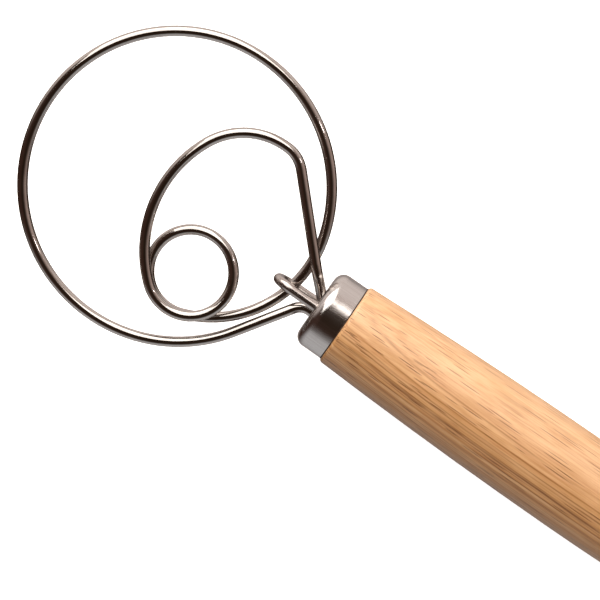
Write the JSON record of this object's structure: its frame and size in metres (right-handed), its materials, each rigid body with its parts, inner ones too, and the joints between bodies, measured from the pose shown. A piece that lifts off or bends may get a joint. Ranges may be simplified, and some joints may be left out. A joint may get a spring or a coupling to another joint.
{
  "type": "dough whisk",
  "caption": "Dough whisk with a turned wooden handle, a polished steel ferrule and a flat head of nested wire loops, for mixing stiff dough and batter by hand.",
  "frame": {"origin": "on the handle's axis at its widest place, where the hand closes round it", "axes": "+X along the handle towards the wire head, +Y across the head in the plane of its loops, +Z square to the loops, out of the face on which the straight leg crosses over the sweep"},
  "size_m": [0.3434, 0.0966, 0.0308],
  "materials": {
    "handle_wood": "sanded and lightly oiled",
    "ferrule_steel": "polished",
    "wire_steel": "polished",
    "resin": "cast"
  },
  "bodies": {
    "root": {"handle": "handle_wood", "ferrule": "ferrule_steel", "whisk_wire": "wire_steel", "retaining_staple": "wire_steel", "resin_potting": "resin"}
  },
  "joints": []
}
